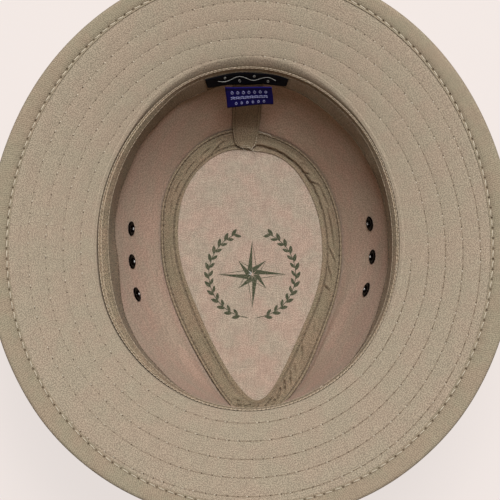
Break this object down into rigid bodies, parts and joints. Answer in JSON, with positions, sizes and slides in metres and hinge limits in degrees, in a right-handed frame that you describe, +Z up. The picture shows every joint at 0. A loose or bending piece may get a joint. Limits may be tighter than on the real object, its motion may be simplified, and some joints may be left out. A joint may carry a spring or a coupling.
{
  "type": "safari hat",
  "caption": "Safari hat in quilted khaki cotton twill, lying on its teardrop crown with the opening up; sweatband, labels, taped seams and metal vents show inside.",
  "frame": {"origin": "centre of the brim's outline, at the level of the teardrop ridge that the hat rests on", "axes": "+Z up, out of the opening; +Y to the back of the hat; +X to the right seen from above, which is the wearer's right once the hat is turned over onto a head"},
  "size_m": [0.295, 0.311, 0.145],
  "materials": {
    "twill": "matte",
    "crown_twill": "matte",
    "sweatband_twill": "matte",
    "tape": "matte",
    "black_woven": "satin",
    "navy_satin": "satin",
    "black_enamel": "gloss"
  },
  "bodies": {
    "root": {"brim": "twill", "edge_binding": "twill", "crown_wall": "crown_twill", "crown_tip": "crown_twill", "sweatband": "sweatband_twill", "tip_seam_tape": "tape", "back_seam_tape": "tape", "woven_label": "black_woven", "care_label": "navy_satin", "eyelet_left_front": "black_enamel", "eyelet_left_middle": "black_enamel", "eyelet_left_back": "black_enamel", "eyelet_right_front": "black_enamel", "eyelet_right_middle": "black_enamel", "eyelet_right_back": "black_enamel"}
  },
  "joints": []
}
